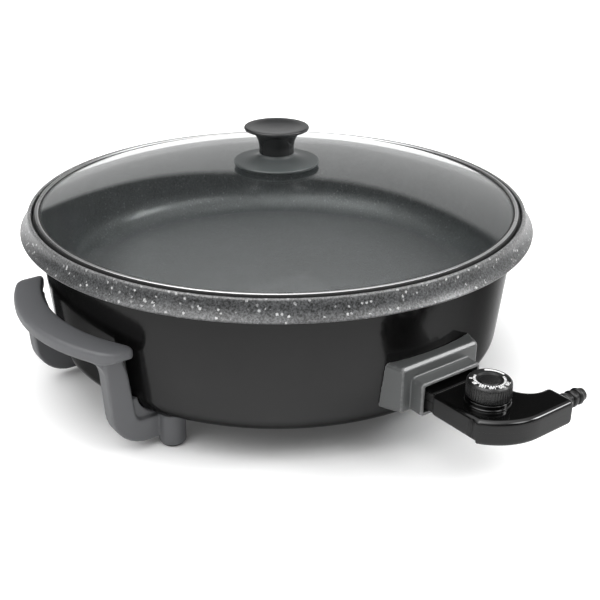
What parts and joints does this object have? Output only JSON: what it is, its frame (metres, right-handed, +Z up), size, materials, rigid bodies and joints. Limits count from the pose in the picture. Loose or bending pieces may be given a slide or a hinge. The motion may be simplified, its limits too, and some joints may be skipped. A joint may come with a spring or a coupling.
{
  "type": "electric pizza pan",
  "caption": "Round electric pizza pan: speckled pan in a black drum shell, lift-off glass lid with knob, leg handles and a plug-in thermostat with a dial.",
  "frame": {"origin": "on the pan's axis, at the counter that the foot pads stand on", "axes": "+Z up along the pan's axis; -Y towards the plug-in controller; handles on -X and +X"},
  "size_m": [0.4294, 0.4688, 0.1942],
  "materials": {
    "granite_coat": "granite-pattern non-stick coating",
    "black_enamel": "satin black",
    "aluminium": "as cast",
    "steel": "plain",
    "lid_steel": "polished",
    "ceramic": "matt",
    "guard_grey": "satin",
    "handle_grey": "matt",
    "rubber": "matt",
    "glass": "clear, toughened",
    "knob_plastic": "satin",
    "brass": "plain",
    "case_gloss": "gloss",
    "block_brown": "matt",
    "dial_black": "satin gloss"
  },
  "bodies": {
    "base": {"pan": "granite_coat", "base_shell": "black_enamel", "spacer_posts": "aluminium", "post_screws": "steel", "heating_element": "steel", "element_clips": "steel", "clip_screws": "steel", "probe_sleeve": "aluminium", "terminal_pins": "steel", "insulator_bushes": "ceramic", "terminal_plate": "ceramic", "socket_guard": "guard_grey", "guard_screws": "steel", "left_handle": "handle_grey", "right_handle": "handle_grey", "handle_screws": "steel", "foot_pads": "rubber"},
    "lid": {"lid_glass": "glass", "lid_rim": "lid_steel", "knob_gasket": "rubber", "knob_base": "knob_plastic", "knob_grip": "knob_plastic", "knob_insert": "brass", "knob_screw": "steel", "knob_washer": "steel", "knob_seal": "rubber"},
    "controller": {"lower_housing": "case_gloss", "upper_housing": "case_gloss", "housing_screws": "steel", "contact_block": "block_brown", "contact_sleeves": "brass", "probe_rod": "steel", "thermostat_frame": "steel", "fixed_leaf": "brass", "moving_leaf": "brass", "leaf_stack": "ceramic", "strain_relief": "rubber"},
    "dial": {"dial": "dial_black", "dial_shaft": "steel", "shaft_clip": "steel"}
  },
  "joints": [
    {"name": "lid_lift", "type": "slide", "parent": "base", "child": "lid", "axis": [0, 0, 1], "range_m": [0, 0.16]},
    {"name": "controller_pull", "type": "slide", "parent": "base", "child": "controller", "axis": [0, -1, 0], "range_m": [0, 0.092]},
    {"name": "dial_turn", "type": "hinge", "parent": "controller", "child": "dial", "pos_m": [0, -0.23529, 0.0795], "axis": [0, 0, -1], "range_deg": [0, 270]}
  ]
}
